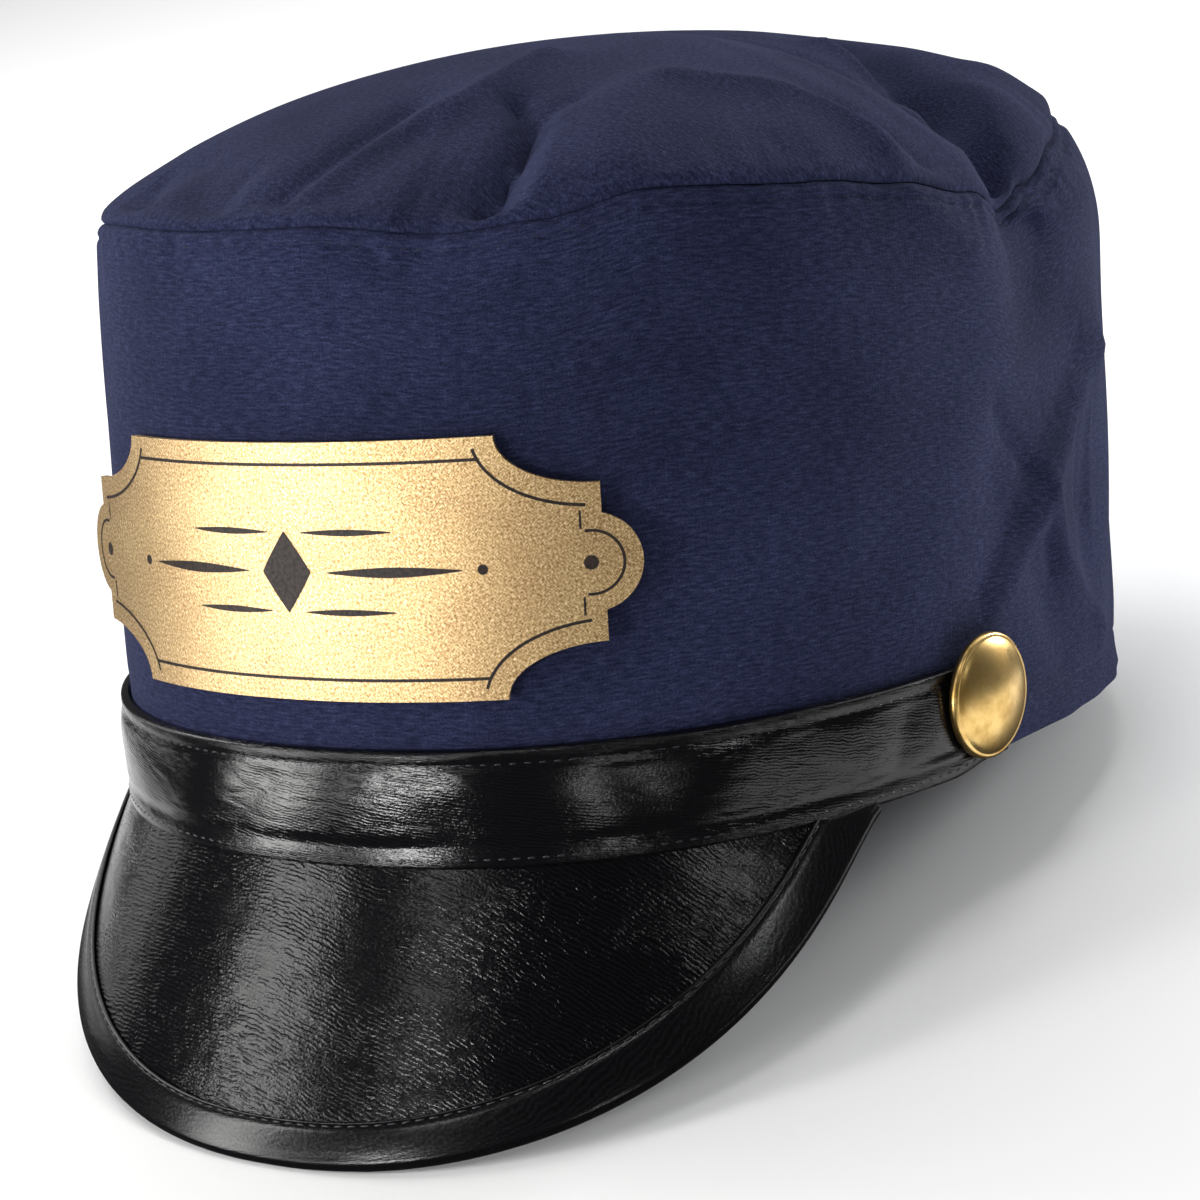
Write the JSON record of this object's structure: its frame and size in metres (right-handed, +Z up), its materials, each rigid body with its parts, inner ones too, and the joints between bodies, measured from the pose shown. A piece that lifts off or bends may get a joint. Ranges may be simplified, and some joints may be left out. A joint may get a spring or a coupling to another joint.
{
  "type": "conductor cap",
  "caption": "Railway conductor's cap with a puffed cloth crown, a stiff black peak, a front strap with domed buttons and a blank gold badge.",
  "frame": {"origin": "middle of the cap's outline on the surface it rests on", "axes": "+Z up, -Y towards the front of the cap with its peak and badge, +X towards the wearer's left"},
  "size_m": [0.1748, 0.2448, 0.1456],
  "materials": {
    "crown_cloth": "matt cotton twill",
    "black_vinyl": "glossy grained vinyl",
    "button_metal": "satin gold",
    "badge_foil": "grained gold foil on stiff card"
  },
  "bodies": {
    "root": {"crown_side": "crown_cloth", "crown_top": "crown_cloth", "peak": "black_vinyl", "peak_binding": "black_vinyl", "strap": "black_vinyl", "button_left": "button_metal", "button_right": "button_metal", "badge": "badge_foil"}
  },
  "joints": []
}
